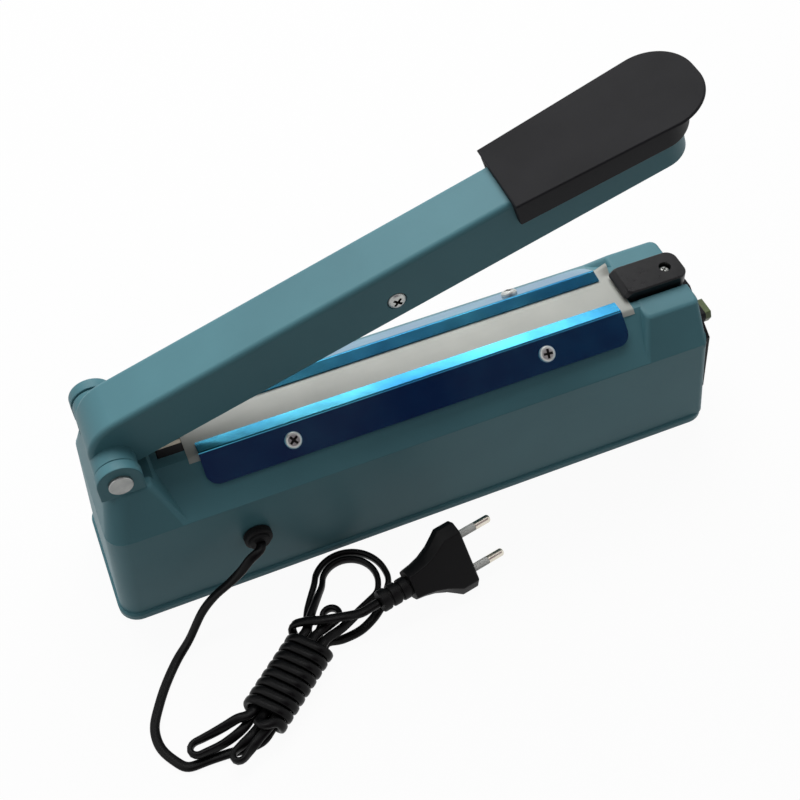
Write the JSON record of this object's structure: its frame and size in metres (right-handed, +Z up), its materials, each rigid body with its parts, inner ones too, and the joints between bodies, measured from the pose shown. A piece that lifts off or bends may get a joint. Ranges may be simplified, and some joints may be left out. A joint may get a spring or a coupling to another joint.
{
  "type": "hand impulse sealer",
  "caption": "Hand impulse sealer: a hinged press arm over a clamped PTFE bed with heating element, switch cap, timer knob and a hanked mains cord with plug.",
  "frame": {"origin": "on the table, at the middle of the machine's footprint from the hinge end of the base to the face of the knob", "axes": "+X from the hinge end to the knob end, +Y from the cord side to the back, +Z up from the table"},
  "size_m": [0.3317, 0.1612, 0.2084],
  "materials": {
    "teal_shell": "satin",
    "black_plastic": "satin",
    "blue_strip": "satin",
    "ptfe_cloth": "matte",
    "zinc_steel": "satin",
    "aluminium_bar": "satin",
    "resistance_wire": "satin",
    "glass_tape": "matte",
    "silicone": "matte",
    "black_rubber": "matte",
    "brass": "satin",
    "nickel_pins": "polished",
    "grey_plastic": "satin",
    "red_lens": "gloss",
    "green_plastic": "gloss",
    "core_steel": "matte",
    "copper_coil": "gloss",
    "green_board": "satin",
    "blue_plastic": "satin",
    "red_plastic": "satin",
    "cord_sheath": "satin"
  },
  "bodies": {
    "base": {"body_shell": "teal_shell", "base_plate": "teal_shell", "base_screws": "zinc_steel", "rubber_feet": "black_rubber", "hinge_pin": "zinc_steel", "hinge_clip": "zinc_steel", "return_spring": "zinc_steel", "seal_bar": "aluminium_bar", "insulation_tape": "glass_tape", "heating_element": "resistance_wire", "ptfe_cloth": "ptfe_cloth", "front_clamp_strip": "blue_strip", "rear_clamp_strip": "blue_strip", "strip_screws": "zinc_steel", "rear_block": "black_plastic", "front_block": "black_plastic", "rear_terminal": "brass", "front_terminal": "brass", "cap_screw": "zinc_steel", "cap_spring": "zinc_steel", "micro_switch": "black_plastic", "switch_bracket": "zinc_steel", "control_panel": "black_plastic", "panel_screws": "zinc_steel", "indicator_lens": "red_lens", "potentiometer": "zinc_steel", "pot_nut": "zinc_steel", "transformer_core": "core_steel", "transformer_coil": "copper_coil", "transformer_strap": "zinc_steel", "strap_screws": "zinc_steel", "timer_board": "green_board", "board_posts": "grey_plastic", "relay": "blue_plastic", "capacitor": "black_plastic", "mains_block": "grey_plastic", "cord_grommet": "black_rubber", "cord_run": "cord_sheath", "cord_hank": "cord_sheath", "plug_lead": "cord_sheath", "plug_body": "black_rubber", "plug_pins": "nickel_pins", "pin_sleeves": "grey_plastic"},
    "arm": {"press_arm": "teal_shell", "arm_grip": "black_plastic", "arm_screws": "zinc_steel", "strip_holder": "black_plastic", "silicone_strip": "silicone"},
    "cap": {"switch_cap": "black_plastic"},
    "plunger": {"switch_plunger": "red_plastic"},
    "knob": {"timer_knob": "black_plastic", "knob_cap": "green_plastic", "pot_shaft": "zinc_steel"}
  },
  "joints": [
    {"name": "arm_hinge", "type": "hinge", "parent": "base", "child": "arm", "pos_m": [-0.1443, 0, 0.0981], "axis": [0, 1, 0], "range_deg": [0, 17.3], "stiffness_Nm_per_rad": 0.8, "springref_deg": -68.75, "deforming": ["return_spring"]},
    {"name": "cap_slide", "type": "slide", "parent": "base", "child": "cap", "axis": [0, 0, -1], "range_m": [0, 0.0015], "stiffness_N_per_m": 1050, "springref_m": -0.002, "deforming": ["cap_spring"]},
    {"name": "plunger_slide", "type": "slide", "parent": "base", "child": "plunger", "axis": [0, 0, -1], "range_m": [0, 0.0015]},
    {"name": "knob_turn", "type": "hinge", "parent": "base", "child": "knob", "pos_m": [0.1485, 0, 0.0445], "axis": [1, 0, 0], "range_deg": [-140, 140]}
  ],
  "couplings": [
    {"joint": "plunger_slide", "follows": "cap_slide", "ratio": 1}
  ]
}
